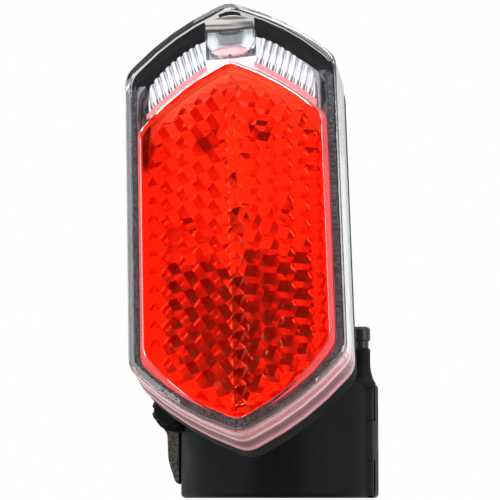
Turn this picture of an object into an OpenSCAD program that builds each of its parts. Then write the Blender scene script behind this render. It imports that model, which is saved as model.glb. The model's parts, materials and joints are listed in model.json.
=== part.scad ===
// Bicycle rear light with a reflector panel, on a hinged seat post clamp.
// The post runs along Z through the origin, and the light faces -Y.
// Millimetres.

/* [Seat post clamp] */
// Radius of the seat post that the clamp grips
post_r = 13.6; // [12.7:0.1:15.9]
// Thickness of the rubber liner round the post
liner_t = 1.8; // [1.5:0.1:2.4]
// Wall thickness of the two clamp shells
shell_wall = 4.6; // [4.4:0.1:5.6]
// Height of the clamp shells along the post
clamp_h = 23; // [21:0.5:27]
// Gap between the two shells where they close
split_gap = 1.5; // [1:0.1:2.2]
// Rounding of the shells' rims
rim_round = 1; // [0.6:0.1:1.5]
// Length of the liners that is left out at each end of the shells
liner_short = 0.5; // [0.2:0.1:1.5]

/* [Clamp hinge] */
// Radius of the hinge pin
hinge_pin_r = 0.9; // [0.8:0.05:1.1]
// Angle of the hinge ahead of the widest point of the shells
hinge_angle = 17; // [12:1:22]
// Radius of the hinge barrels
barrel_r = 2.6; // [2.4:0.1:2.8]
// Half height of the middle barrel
barrel_mid = 4; // [3:0.25:5]
// Height of the boss that stands on the upper barrel
boss_h = 7; // [5:0.25:8]
// Length of the pin's neck above the boss
pin_neck = 1.4; // [1:0.1:3]
// Height of the pin's head
pin_head_h = 2.9; // [2:0.1:4]
// Radius of the pin's head and of the boss below it
pin_head_r = 1.95; // [1.6:0.05:2.2]
// Radius of the pin's neck
pin_neck_r = 1.6; // [1.2:0.05:1.8]

/* [Clamp closure] */
// Radius of the clamp screw
screw_r = 1.5; // [1.4:0.05:1.6]
// Height of the clamp screw above the middle of the shells
screw_z = 6; // [5.5:0.1:7.5]
// Radius of the lug on the front shell
lug_r = 4.2; // [3.8:0.1:4.6]
// Length of the lug on the front shell
lug_len = 7; // [5:0.25:9]
// Thickness of the ear on the rear shell
ear_t = 5; // [4.5:0.25:6]
// Reach of the rear ear past the clamp screw
ear_reach = 3.9; // [3.6:0.1:4.6]
// Distance of the clamp screw from the liner's outside
screw_out = 5; // [4.8:0.1:6.6]
// Depth of the rear ear below the middle of the shells
ear_drop = 8.7; // [7:0.1:10]
// Radius of the clamp knob
knob_r = 3.4; // [3.2:0.1:4.2]
// Length of the clamp knob
knob_len = 7; // [5:0.5:9]
// Number of finger flutes round the knob
knob_flutes = 8; // [6:1:12]
// Width across the flats of the square clamp nut
nut_af = 5.5; // [5:0.1:5.6]
// Thickness of the clamp nut
nut_t = 2.4; // [2:0.1:2.8]

/* [Swivel and tilt] */
// Height of the swivel axis above the middle of the shells
swivel_z = 10; // [9:0.25:11]
// Reach of the swivel boss ahead of the shell
swivel_reach = 2.8; // [2.4:0.1:4]
// Sideways offset of the swivel from the middle of the shells
swivel_x = 0.9; // [0:0.1:1.5]
// Radius of the swivel boss
swivel_boss_r = 7.5; // [7:0.25:8]
// Thickness of the washer between boss and knuckle
washer_t = 0.6; // [0.4:0.1:1]
// Thickness of the knuckle's round plate
knuckle_t = 3; // [2.5:0.25:4]
// Radius of the swivel bolt
swivel_bolt_r = 2; // [1.8:0.1:2.2]
// Radius of the swivel bolt's head
swivel_head_r = 3.4; // [3.1:0.1:3.6]
// Thickness of the swivel bolt's head
swivel_head_t = 2; // [1.6:0.1:2.2]
// Half width of the knuckle's tongue
tongue_hw = 3.1; // [2.6:0.1:3.6]
// Radius of the tilt ears on the housing
tilt_ear_r = 4.2; // [4:0.1:4.6]
// Thickness of each tilt ear
tilt_ear_t = 3.4; // [2.8:0.1:4]
// Radius of the tilt bolt
tilt_bolt_r = 1.5; // [1.3:0.1:1.7]
// Lean of the light back towards the post
tilt = 17; // [5:1:20]
// Roll of the light about the swivel axis
roll = 4.2; // [0:0.1:10]

/* [Light body] */
// Half width of the light
case_hw = 20.4; // [19.5:0.1:22]
// Height of the top point above the middle of the panel
case_top = 43.9; // [43:0.1:47]
// Height of the upper V
top_v = 13.7; // [12:0.1:15]
// Depth of the bottom point below the middle of the panel
case_bottom = 43.9; // [43:0.1:47]
// Height of the lower V
bottom_v = 14.5; // [12:0.1:15.5]
// Outward bow of the V edges
v_bow = 1.2; // [0.8:0.1:2]
// Depth of the clear cover
cover_depth = 12; // [11.6:0.1:14]
// Wall thickness of the clear cover
cover_wall = 1; // [0.9:0.05:1.3]
// Thickness of the cover's front
front_t = 2.2; // [1.8:0.1:2.6]
// Rounding of the cover's front edge
cover_round = 1.2; // [0.8:0.1:1.6]
// Depth of the black rim behind the cover
rim_depth = 5.9; // [5:0.1:7]
// Step in from the cover's side to the black rim
rim_inset = 0.4; // [0.3:0.05:0.6]
// Wall thickness of the black housing
housing_t = 1.8; // [1.6:0.1:2]
// Depth of the bulge behind the rim
bulge_depth = 6.8; // [6.7:0.1:8]
// Front of the dark visor in the upper V
visor_front = 2.6; // [2.6:0.1:4]
// Width of the dark visor's front edge
visor_t = 2; // [1.4:0.1:2.2]
// Thickness of the case seal
seal_t = 0.6; // [0.4:0.05:0.8]

/* [Reflector panel] */
// Width of the clear rim beside the red panel
rim_side = 3.1; // [3:0.1:3.6]
// Height of the clear window above the red panel
window_h = 13.4; // [13:0.1:14.5]
// Height of the clear rim below the red panel
rim_below = 2.6; // [2.6:0.1:3.4]
// Height of the panel's upper V
panel_top_v = 12.6; // [11:0.1:13.5]
// Height of the panel's lower V
panel_bottom_v = 14.2; // [12:0.1:15]
// Bow of the panel's upper V edges
panel_top_bow = 1; // [0.6:0.1:1.6]
// Bow of the panel's lower V edges
panel_bottom_bow = 1.5; // [1:0.1:2]
// Thickness of the panel ahead of its prisms
panel_t = 3.7; // [3.3:0.1:4]
// Width of the dark gasket round the red panel
gasket_w = 0.95; // [0.7:0.05:1.1]
// Thickness of that gasket
gasket_t = 0.8; // [0.6:0.1:1]
// Width of the plain border round the raised field
border_w = 1.7; // [1.2:0.1:2.2]
// Rise of the field above the border
field_rise = 0.4; // [0.2:0.05:0.6]
// Size of one corner-cube prism, across its flats
cell = 3.6; // [3:0.1:3.7]
// Margin between the panel's edge and its prisms
prism_margin = 0.6; // [0.4:0.1:2]

/* [Light guide] */
// Pitch of the flutes in the clear V
flute_pitch = 1.2; // [1:0.05:1.5]
// Lean of the flutes from upright
flute_lean = 14; // [8:1:20]
// Half width of the lens block in the middle
optic_hw = 4.7; // [4.2:0.1:5]

/* [Batteries and electronics] */
// Radius of a battery
batt_r = 5.25; // [5:0.05:5.25]
// Length of a battery with its button end
batt_l = 44.5; // [43:0.1:44.5]
// Gap between the two batteries
batt_gap = 0.8; // [0.4:0.1:1]
// Thickness of the circuit board
board_t = 1.2; // [1:0.1:1.6]
// Thickness of the battery door
door_t = 1.8; // [1.6:0.1:2]
// Radius of the power button
button_r = 3; // [2.6:0.1:3]
// Travel of the power button
button_travel = 0.8; // [0.4:0.1:0.9]

/* [Hidden] */
$fn = 64;

// Fits and small clearances
run_fit = 0.05;
side_play = 0.1;
seat_gap = 0.15;
far = 200;

// Clamp
bore_r = post_r + liner_t;
shell_r = bore_r + shell_wall;
half_h = clamp_h / 2;
hinge_r = (bore_r + shell_r) / 2 + 0.2;
hinge_x = hinge_r * cos(hinge_angle);
hinge_y = -hinge_r * sin(hinge_angle);
barrel_gap = 0.05;
screw_x = -(bore_r + screw_out);
ear_x = screw_x - ear_reach;
lug_y = -split_gap / 2 - lug_len;
ear_y = split_gap / 2;
knob_y = lug_y - 0.2;

// Swivel and tilt
boss_y = -(shell_r + swivel_reach);
knuckle_y = boss_y - washer_t;
tongue_y = knuckle_y - knuckle_t;
pivot_y = tongue_y - tilt_ear_r - 0.4;
tongue_r = tilt_ear_r - 0.2;
head_y = -bore_r - 0.3;

// Depths in the light, from the cover's front
rim_front = cover_depth + seal_t;
rim_back = rim_front + rim_depth;
body_depth = rim_back + bulge_depth;
pivot_depth = body_depth + 5;
spigot_in = cover_wall + seat_gap;
spigot_t = 1.2;
cavity_in = spigot_in + spigot_t;
visor_in = spigot_in + visor_t;
spigot_front = rim_front - 1.4;
cell_side = cell / sqrt(3);
cell_step = cell / sqrt(6);
prism_foot = panel_t + 0.2;
prism_rows = 2 * ceil((case_top + case_bottom) / cell);
prism_cols = ceil(case_hw / cell_side) + 1;
prism_tip = prism_foot + 2 * cell_step;
tray_floor = prism_tip + 0.5;
tray_t = 1.2;
tray_wall = 0.9;
tray_in = visor_in + seat_gap;
board_front = tray_floor + tray_t + 1.2;
board_back = board_front + board_t;

// Panel outline
flange_w = 0.9;
panel_hw = case_hw - rim_side;
panel_top = case_top - window_h;
panel_bottom = case_bottom - rim_below;

// Battery bay, door and bulge
bay_hw = 2 * batt_r + batt_gap / 2 + 0.6;
bay_play = 0.25;
plate_t = 0.4;
spring_h = 1.6;
ledge_t = 1;
button_z = case_top - 8.2;
bay_hi = button_z - button_r - 8.3;
bay_lo = bay_hi - batt_l - 2 * plate_t - spring_h;
door_lo = bay_lo + 2.6;
pivot_below = tilt_ear_r + 0.5 - door_lo;
door_hi = bay_hi + 5.4;
door_screw_z = bay_hi + 2.9;
door_screw_r = 1.2;
door_hw = bay_hw + 1.3;
door_seal_t = 0.5;
recess_floor = body_depth - door_t - door_seal_t;
batt_x = batt_r + batt_gap / 2;
batt_depth = recess_floor - ledge_t - batt_r - bay_play;
bay_front = batt_depth - batt_r - bay_play;
bulge_hw = door_hw + 1.8;
bulge_hi = door_hi + 1.6;
bulge_lo = -pivot_below - tilt_ear_r - 1.6;

// Button and switch
button_flange_t = 1.2;
button_flange_r = button_r + 1.2;
button_proud = 1.2;
flange_back = rim_back - housing_t - 0.05;
flange_front = flange_back - button_flange_t;
switch_tip = flange_front - button_travel - 0.2;

// Small fasteners
tilt_head_r = 2.75;
tilt_head_t = 2.6;
tilt_nut_r = 3.1;
tilt_nut_t = 2.4;
hex_key_r = 1.45;
board_screw_in = 6.6;
board_screw_r = 0.8;
board_head_r = 1.6;
board_head_t = 1.1;
door_head_r = 2.2;

// Battery contacts
plate_hw = batt_r - 0.65;
plate_d = 2 * batt_r - 1.6;
spring_r = 3.6;
spring_eye = 1.2;
spring_wire = 0.6;
spring_coils = 3;

// Optic
flute_count = 10;
flute_l = 24;
switch_hw = 2.5;
switch_stem_r = 1.4;
switch_stem_h = 0.9;
optic_z = panel_top + 3.6;
optic_h = window_h - 6.6;
led_z = optic_z + 2.6;

// Unit vector along v
function unit(v) = v / norm(v);

// Closed outline with every corner turned into a smooth curve; cuts are the lengths taken off the sides
function soft(pts, cuts, steps = 4) = [
    for (i = [0 : len(pts) - 1])
        let (
            p = pts[i],
            a = p + unit(pts[(i + len(pts) - 1) % len(pts)] - p) * cuts[i],
            b = p + unit(pts[(i + 1) % len(pts)] - p) * cuts[i]
        )
        for (k = [0 : steps])
            let (s = k / steps)
                (1 - s) * (1 - s) * a + 2 * s * (1 - s) * p + s * s * b
];

// Middle of a side, pushed out to bow it
function bowed(a, b, bow) = (a + b) / 2 + 2 * bow * unit([a[1] - b[1], b[0] - a[0]]);

// Tall hexagon with bowed V ends and softened corners
function tall_hex(hw, top, tv, tb, bottom, bv, bb, corner = 1.7) =
    let (
        t = [0, top],
        r1 = [hw, top - tv],
        r2 = [hw, bv - bottom],
        b = [0, -bottom],
        l2 = [-hw, bv - bottom],
        l1 = [-hw, top - tv],
        top_cut = 0.47 * norm(r1 - t) - corner,
        bottom_cut = 0.47 * norm(r2 - b) - corner,
        cuts = [
            corner, top_cut, corner, corner, bottom_cut,
            corner, bottom_cut, corner, corner, top_cut
        ]
    )
    soft(
        [
            t, bowed(t, r1, tb), r1, r2, bowed(r2, b, bb),
            b, bowed(b, l2, bb), l2, l1, bowed(l1, t, tb)
        ],
        cuts
    );

// Factor from a distance square to a V edge to a distance along Z
function v_factor(v, hw) = sqrt(1 + pow(v / hw, 2));

// Outline of the case, moved in by e at the sides and bottom and by et at the upper V
function case_pts(e = 0, et = undef) =
    let (top_in = is_undef(et) ? e : et)
    tall_hex(
        case_hw - e,
        case_top - top_in * v_factor(top_v, case_hw),
        top_v * (case_hw - e) / case_hw,
        v_bow,
        case_bottom - e * v_factor(bottom_v, case_hw),
        bottom_v * (case_hw - e) / case_hw,
        v_bow
    );

// Outline of the red panel, moved in by e
function panel_pts(e = 0) = tall_hex(
    panel_hw - e,
    panel_top - e * v_factor(panel_top_v, panel_hw),
    panel_top_v * (panel_hw - e) / panel_hw,
    panel_top_bow,
    panel_bottom - e * v_factor(panel_bottom_v, panel_hw),
    panel_bottom_v * (panel_hw - e) / panel_hw,
    panel_bottom_bow,
    1.3
);

// Rectangle with softened corners
function box_pts(hw, lo, hi, corner) = soft(
    [[hw, hi], [hw, lo], [-hw, lo], [-hw, hi]],
    [corner, corner, corner, corner]
);

// Extrudes an outline in X and Z from depth d0 to depth d1
module slab(pts, d0, d1) {
    translate([0, d1, 0])
        rotate([90, 0, 0])
            linear_extrude(height = d1 - d0)
                polygon(pts);
}

// Cylinder along Y at x and z, from depth d0 to depth d1
module rod_y(r, x, z, d0, d1) {
    translate([x, d1, z])
        rotate([90, 0, 0])
            cylinder(r = r, h = d1 - d0);
}

// Cylinder along X at depth d and height z
module rod_x(r, d, z, x0, x1) {
    translate([x0, d, z])
        rotate([0, 90, 0])
            cylinder(r = r, h = x1 - x0);
}

// Upright cylinder
module rod_z(r, x, y, z0, z1) {
    translate([x, y, z0])
        cylinder(r = r, h = z1 - z0);
}

// Frame of the knuckle, with its origin on the tilt axis
module in_knuckle() {
    translate([swivel_x, pivot_y, swivel_z])
        rotate([0, -roll, 0])
            children();
}

// Frame of the light: X across, Y is depth behind the cover's front, Z up the panel
module in_light() {
    in_knuckle()
        rotate([-tilt, 0, 0])
            translate([0, -pivot_depth, pivot_below])
                children();
}

// Clamp

// Region of the front shell, kept back from the split by gap
module front_region(gap) {
    linear_extrude(height = far, center = true)
        polygon([
            [-far, -gap], [-far, -far], [far, -far],
            [far, -far * tan(hinge_angle) - gap], [0, -gap]
        ]);
}

// Region of the rear shell, kept back from the split by gap
module rear_region(gap) {
    linear_extrude(height = far, center = true)
        polygon([
            [-far, gap], [0, gap], [far, gap - far * tan(hinge_angle)],
            [far, far], [-far, far]
        ]);
}

// Whole ring of the clamp, with rounded outer rims
module ring(r0, r1, hh, corner) {
    rotate_extrude($fn = 128)
        polygon(concat(
            [[r0, -hh], [r1 - corner, -hh]],
            [
                for (a = [-75 : 15 : 75])
                    [
                        r1 - corner + corner * cos(a),
                        (a > 0 ? hh - corner : corner - hh) + corner * sin(a)
                    ]
            ],
            [[r1 - corner, hh], [r0, hh]]
        ));
}

// Boss on the hinge axis above the shells, flared at its foot
module hinge_boss() {
    translate([hinge_x, hinge_y, 0])
        rotate_extrude()
            polygon([
                [0, half_h - 1], [barrel_r + 0.5, half_h - 1],
                [barrel_r + 0.4, half_h], [barrel_r - 0.1, half_h + 0.9],
                [pin_head_r + 0.2, half_h + 2.2], [pin_head_r, half_h + 3.4],
                [pin_head_r, half_h + boss_h - 0.3],
                [pin_head_r - 0.3, half_h + boss_h], [0, half_h + boss_h]
            ]);
}

module hinge_hole() {
    rod_z(hinge_pin_r + run_fit, hinge_x, hinge_y, -far, far);
}

module clamp_front() color("#15161a") {
    difference() {
        union() {
            intersection() {
                ring(bore_r, shell_r, half_h, rim_round);
                front_region(split_gap / 2);
            }
            for (side = [-1, 1])
                rod_z(
                    barrel_r, hinge_x, hinge_y,
                    side > 0 ? barrel_mid + barrel_gap : -half_h + 0.4,
                    side > 0 ? half_h - 0.4 : -barrel_mid - barrel_gap
                );
            hinge_boss();
            rod_y(swivel_boss_r, swivel_x, swivel_z, boss_y, -bore_r - 0.2);
            rod_y(lug_r, screw_x, screw_z, lug_y, -split_gap / 2);
            translate([screw_x, lug_y, screw_z - lug_r])
                cube([-screw_x - bore_r - 1, lug_len - 0.6, half_h - screw_z + lug_r - 0.6]);
        }
        rod_z(bore_r, 0, 0, -half_h - 1, half_h + 0.01);
        rod_z(post_r + 0.6, 0, 0, -half_h, far);
        rod_z(
            barrel_r + 0.25, hinge_x, hinge_y,
            -barrel_mid - barrel_gap, barrel_mid + barrel_gap
        );
        hinge_hole();
        rod_y(swivel_bolt_r + run_fit, swivel_x, swivel_z, boss_y - 1, 0);
        rod_y(swivel_head_r + 0.2, swivel_x, swivel_z, head_y - swivel_head_t - 0.1, 0);
        rod_y(knob_r + 0.4, screw_x, screw_z, -far, lug_y);
        rod_y(screw_r + side_play, screw_x, screw_z, lug_y - 1, 1);
    }
}

// Outline of the rear ear, seen from the front, moved in by e on its free sides
function ear_pts(e = 0) = soft(
    [
        [-bore_r - 0.6, half_h - 1], [-bore_r - 0.6, e - ear_drop],
        [screw_x - 0.9, e - ear_drop], [e + screw_x - 2.6, 4.8 - ear_drop],
        [e + screw_x - 2.8, screw_z - 4.5], [e + ear_x, screw_z - 2.9], [e + ear_x, half_h - 1]
    ],
    [0.3, 0.3, 0.8, 1.5, 0.6, 0.6, 1.8]
);

module clamp_rear() color("#1b1b1d") {
    difference() {
        union() {
            intersection() {
                ring(bore_r, shell_r, half_h, rim_round);
                rear_region(split_gap / 2);
            }
            rod_z(
                barrel_r, hinge_x, hinge_y,
                barrel_gap - barrel_mid, barrel_mid - barrel_gap
            );
            slab(ear_pts(), ear_y, ear_y + ear_t);
        }
        rod_z(bore_r, 0, 0, -half_h - 1, half_h + 1);
        for (side = [-1, 1])
            rod_z(
                barrel_r + 0.85, hinge_x, hinge_y,
                side > 0 ? barrel_mid - barrel_gap : -half_h - 1,
                side > 0 ? half_h + 1 : barrel_gap - barrel_mid
            );
        hinge_hole();
        rod_y(screw_r + side_play, screw_x, screw_z, 0, far);
        nut_block(0.1, 1);
    }
}

// Rubber liners
module liner_front() color("#4a4644") {
    intersection() {
        ring(post_r, bore_r, half_h - liner_short, 0.2);
        front_region(split_gap / 2 + 0.8);
    }
}

module liner_rear() color("#4a4644") {
    tab_edge = screw_x - 0.35;
    tab_z = screw_z - 3;
    difference() {
        union() {
            intersection() {
                ring(post_r, bore_r, half_h - liner_short, 0.2);
                rear_region(split_gap / 2 + 0.8);
            }
            intersection() {
                slab(ear_pts(0.1), -split_gap / 2 + 0.25, split_gap / 2);
                union() {
                    translate([tab_edge - far, -far / 2, -far / 2])
                        cube([far, far, far]);
                    translate([-far / 2, -far / 2, tab_z])
                        cube([far, far, far]);
                }
            }
            translate([0.3 - bore_r, 0, tab_z])
                cube([0.9, split_gap / 2 + 1.2, half_h - 1 - tab_z]);
            translate([-bore_r - 0.8, -split_gap / 2 + 0.25, tab_z])
                cube([2, split_gap - 0.25, half_h - 1 - tab_z]);
        }
        rod_y(screw_r + 0.2, screw_x, screw_z, -far, far);
    }
}

module hinge_pin() color("#2a2a28") {
    boss_top = half_h + boss_h;
    head_lo = boss_top + pin_neck;
    translate([hinge_x, hinge_y, 0])
        rotate_extrude()
            polygon([
                [0, 0.2 - half_h], [hinge_pin_r - 0.2, 0.2 - half_h],
                [hinge_pin_r, 0.4 - half_h], [hinge_pin_r, boss_top + 0.05],
                [pin_neck_r, boss_top + 0.05], [pin_neck_r, head_lo],
                [pin_head_r - 0.15, head_lo], [pin_head_r, head_lo + 0.2],
                [pin_head_r, head_lo + pin_head_h - 0.6],
                [pin_head_r - 0.2, head_lo + pin_head_h - 0.2],
                [pin_head_r - 0.6, head_lo + pin_head_h],
                [0, head_lo + pin_head_h]
            ]);
}

module clamp_screw() color("#8d8f94") {
    rod_y(screw_r, screw_x, screw_z, knob_y - knob_len + 1.6, ear_y + ear_t + 0.6);
}

module clamp_knob() color("#1c1c1e") {
    difference() {
        translate([screw_x, knob_y, screw_z])
            rotate([90, 0, 0])
                rotate_extrude()
                    polygon([
                        [0, 0], [knob_r - 1.2, 0], [knob_r - 1, 1.2], [knob_r, 1.8],
                        [knob_r, knob_len - 0.8], [knob_r - 0.8, knob_len],
                        [0, knob_len]
                    ]);
        for (i = [0 : knob_flutes - 1])
            let (a = 360 * i / knob_flutes)
                rod_y(
                    0.75, screw_x + (knob_r + 0.25) * cos(a),
                    screw_z + (knob_r + 0.25) * sin(a),
                    knob_y - knob_len - 1, knob_y - 1.5
                );
        rod_y(screw_r, screw_x, screw_z, knob_y - knob_len + 1.6, knob_y + 1);
    }
}

// Square nut, grown by gap, with its pocket's extra reach to the back
module nut_block(gap, reach) {
    translate([
        screw_x - nut_af / 2 - gap,
        ear_y + ear_t - nut_t - gap,
        screw_z - nut_af / 2 - gap
    ])
        cube([nut_af + 2 * gap, nut_t + gap + reach, nut_af + 2 * gap]);
}

module clamp_nut() color("#9a9ca0") {
    difference() {
        nut_block(0, 0);
        rod_y(screw_r + run_fit, screw_x, screw_z, 0, far);
    }
}

// Swivel

module swivel_washer() color("#c9c9c4") in_knuckle() {
    difference() {
        rod_y(swivel_boss_r - 0.4, 0, 0, knuckle_y - pivot_y, boss_y - pivot_y);
        rod_y(swivel_bolt_r + side_play, 0, 0, -far, far);
    }
}

module swivel_knuckle() color("#17181b") in_knuckle() {
    plate_front = tongue_y - pivot_y;
    difference() {
        union() {
            rod_y(swivel_boss_r - 0.3, 0, 0, plate_front, knuckle_y - pivot_y);
            translate([-tongue_hw, 0, -tongue_r])
                cube([2 * tongue_hw, plate_front + 0.5, 2 * tongue_r]);
            rod_x(tongue_r, 0, 0, -tongue_hw, tongue_hw);
        }
        rod_x(tilt_bolt_r + run_fit, 0, 0, -far, far);
        rod_y(swivel_bolt_r, 0, 0, plate_front - 1, far);
    }
}

module swivel_bolt() color("#9a9ca0") in_knuckle() {
    head_front = head_y - swivel_head_t - pivot_y;
    difference() {
        union() {
            rod_y(swivel_bolt_r, 0, 0, tongue_y - pivot_y - 1, head_front + 0.5);
            rod_y(swivel_head_r, 0, 0, head_front, head_front + swivel_head_t);
        }
        translate([0, head_front + swivel_head_t + 0.01, 0])
            rotate([90, 0, 0])
                cylinder(r = hex_key_r, h = swivel_head_t * 0.6, $fn = 6);
    }
}

module tilt_bolt() color("#9a9ca0") in_light() {
    ear_out = tongue_hw + side_play + tilt_ear_t;
    difference() {
        union() {
            rod_x(tilt_bolt_r, pivot_depth, -pivot_below, -ear_out - tilt_nut_t - 0.5, ear_out + 0.5);
            rod_x(tilt_head_r, pivot_depth, -pivot_below, ear_out, ear_out + tilt_head_t);
        }
        translate([ear_out + tilt_head_t / 2, pivot_depth, -pivot_below])
            rotate([0, 90, 0])
                cylinder(r = hex_key_r, h = tilt_head_t, $fn = 6);
    }
}

module tilt_nut() color("#9a9ca0") in_light() {
    ear_out = tongue_hw + side_play + tilt_ear_t;
    difference() {
        translate([-ear_out - tilt_nut_t, pivot_depth, -pivot_below])
            rotate([0, 90, 0])
                cylinder(r = tilt_nut_r, h = tilt_nut_t, $fn = 6);
        rod_x(tilt_bolt_r, pivot_depth, -pivot_below, -far, far);
    }
}

// Light body

// Two ears that carry the tilt bolt
module tilt_ears() {
    for (side = [-1, 1])
        mirror([side < 0 ? 1 : 0, 0, 0])
            union() {
                rod_x(
                    tilt_ear_r, pivot_depth, -pivot_below,
                    tongue_hw + side_play, tongue_hw + side_play + tilt_ear_t
                );
                translate([
                    tongue_hw + side_play, body_depth - 0.6,
                    -pivot_below - tilt_ear_r
                ])
                    cube([tilt_ear_t, pivot_depth - body_depth + 0.6, 2 * tilt_ear_r]);
            }
}

// Pocket in the upper V for the lens block
module optic_room(front, back) {
    slab(box_pts(optic_hw + seat_gap, optic_z - 1.2, optic_z + optic_h + 0.6 + seat_gap, 0.6), front, back);
}

// Dark V that rises inside the cover's upper end
module visor() {
    difference() {
        slab(case_pts(spigot_in), visor_front, rim_front + 0.5);
        slab(case_pts(spigot_in - 0.01, visor_in), visor_front - 1, rim_front + 1);
        optic_room(visor_front - 1, tray_floor + tray_t);
    }
}

module rear_housing() color("#141518") in_light() {
    difference() {
        union() {
            hull() {
                slab(case_pts(rim_inset), rim_front, rim_back - 0.9);
                slab(case_pts(rim_inset + 0.9), rim_back - 0.1, rim_back);
            }
            hull() {
                slab(box_pts(bulge_hw + 0.9, bulge_lo - 1, bulge_hi + 0.6, 4.5), rim_back - 0.3, rim_back);
                slab(box_pts(bulge_hw, bulge_lo, bulge_hi, 4), body_depth - 0.8, body_depth - 0.7);
                slab(box_pts(bulge_hw - 0.7, bulge_lo + 0.7, bulge_hi - 0.7, 4), body_depth - 0.1, body_depth);
            }
            slab(case_pts(spigot_in), spigot_front, rim_front + 0.5);
            visor();
            tilt_ears();
        }
        slab(case_pts(cavity_in), spigot_front - 1, rim_back - housing_t);
        slab(box_pts(bay_hw, bay_lo, bay_hi, 1), rim_back - housing_t - 1, recess_floor - ledge_t);
        slab(box_pts(bay_hw, door_lo + 1.2, bay_hi, 1), recess_floor - ledge_t - 1, body_depth + 1);
        slab(box_pts(door_hw, door_lo, door_hi, 1.6), recess_floor, body_depth + 1);
        rod_y(door_screw_r, 0, door_screw_z, rim_back - housing_t + 1.4, body_depth + 1);
        rod_y(button_r + 0.1, 0, button_z, rim_back - housing_t - 1, rim_back + 1);
        rod_x(tilt_bolt_r, pivot_depth, -pivot_below, -far, far);
    }
}

module clear_cover() color("#e8eef2", 0.35) in_light() {
    difference() {
        hull() {
            slab(case_pts(cover_round), 0, 0.1);
            slab(case_pts(cover_round * 0.3), cover_round * 0.3, cover_round * 0.35);
            slab(case_pts(0), cover_round, cover_depth);
        }
        slab(case_pts(cover_wall), front_t, cover_depth + 1);
        slab(panel_pts(-seat_gap), -1, front_t + 1);
    }
}

// Place of a point of the prism lattice, across and up
function lattice(k, j) = [(k + (j % 2) / 2) * cell_side, (j - prism_rows / 2) * cell / 2 - 5];

// Depth of a point of the lattice: cell centres stand furthest back, then two kinds of corner.
// The left half mirrors the right one, so the panel shines back from both sides.
function prism_depth(k, j) =
    let (m = k < 0 ? -k - j % 2 : k)
    prism_foot + [2, 0, 1][((m - floor(j / 2) - j) % 3 + 3) % 3] * cell_step;

// Whether a point lies within an outline
function within(p, outline) = 0 == len([
    for (i = [0 : len(outline) - 1])
        let (a = outline[i], b = outline[(i + 1) % len(outline)])
            if (cross(b - a, p - a) > 0) 1
]);

// Field of corner cubes whose tips point back, as far as whole facets fit the panel
module prism_field() {
    outline = panel_pts(prism_margin);
    cols = prism_cols;
    rows = prism_rows;
    width = 2 * cols + 1;
    flat = [for (j = [0 : rows]) for (k = [-cols : cols]) lattice(k, j)];
    inside = [for (p = flat) within(p, outline)];
    depths = [for (j = [0 : rows]) for (k = [-cols : cols]) prism_depth(k, j)];
    count = len(flat);
    facets = [
        for (j = [0 : rows - 1])
            for (k = [0 : width - 2])
                let (
                    a = k + j * width,
                    b = a + 1,
                    c = a + width,
                    d = c + 1
                )
                for (f = j % 2 == 0 ? [[a, b, c], [b, d, c]] : [[a, b, d], [a, d, c]])
                    if (inside[f[0]] && inside[f[1]] && inside[f[2]]) f
    ];
    foot = [for (f = facets) [f[2] + count, f[1] + count, f[0] + count]];
    walls = [
        for (f = facets)
            for (i = [0 : 2])
                let (p = f[i], q = f[(i + 1) % 3], r = f[(i + 2) % 3])
                if (!within(flat[p] + flat[q] - flat[r], outline))
                    [q, p, p + count, q + count]
    ];
    polyhedron(
        points = concat(
            [for (i = [0 : count - 1]) [flat[i][0], depths[i], flat[i][1]]],
            [for (p = flat) [p[0], panel_t - 1, p[1]]]
        ),
        faces = concat(facets, foot, walls)
    );
}

module red_lens() color("#f5281a") in_light() {
    union() {
        slab(panel_pts(0), 0, panel_t);
        slab(panel_pts(border_w), -field_rise, 0.5);
        intersection() {
            slab(panel_pts(-flange_w), front_t + 0.1, panel_t);
            slab(case_pts(cover_wall + seat_gap + gasket_w), 0, panel_t + 1);
        }
        prism_field();
    }
}

// Dark gasket behind the cover's front, between the visor's ends
module rim_gasket() color("#3a3a3c") in_light() {
    back = front_t + 0.05 + gasket_t;
    difference() {
        slab(case_pts(cover_wall + 0.05, visor_in + 0.05), front_t + 0.05, back);
        slab(case_pts(cover_wall + 0.05 + gasket_w, 0), 0, back + 1);
    }
}

// Region of the clear V between the visor and the red panel
module guide_region(front, back) {
    intersection() {
        difference() {
            slab(case_pts(tray_in + tray_wall + 0.1), front, back);
            slab(panel_pts(-flange_w - 0.3), front - 1, back + 1);
            slab(box_pts(optic_hw + 0.2, optic_z - 1.4, far, 0.4), front - 1, back + 1);
        }
        slab([[-far, panel_top - 10.5], [far, panel_top - 10.5], [far, far], [-far, far]], 0, far);
    }
}

module light_guide() color("#f2f5f7", 0.6) in_light() {
    flute_r = flute_pitch * 0.46;
    guide_front = front_t + 1.5;
    union() {
        guide_region(guide_front, tray_floor - 0.1);
        intersection() {
            guide_region(front_t + 0.2, guide_front + 1);
            union() {
                for (side = [-1, 1])
                    for (i = [0 : flute_count - 1])
                        let (x = optic_hw + 1.1 + i * flute_pitch)
                            translate([side * x, guide_front - 0.1, panel_top + 6 - 0.62 * x])
                                rotate([0, side * flute_lean, 0])
                                    cylinder(r = flute_r, h = flute_l, center = true);
            }
        }
    }
}

// Outline of the lens block over the lamp
function optic_pts() = soft(
    [
        [optic_hw, optic_z + optic_h - 1.2], [optic_hw, optic_z + 1.6],
        [optic_hw - 2, optic_z - 0.8], [2 - optic_hw, optic_z - 0.8],
        [-optic_hw, optic_z + 1.6], [-optic_hw, optic_z + optic_h - 1.2],
        [0, optic_z + optic_h + 0.6]
    ],
    [0.8, 0.8, 0.8, 0.8, 0.8, 0.8, 3.6]
);

module led_optic() color("#f6f7f2", 0.6) in_light() {
    difference() {
        slab(optic_pts(), front_t + 0.2, tray_floor - 0.1);
        translate([0, tray_floor - 0.1, led_z])
            rotate([90, 0, 0])
                cylinder(r1 = 2.5, r2 = 1.6, h = 1.8);
    }
}

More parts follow.
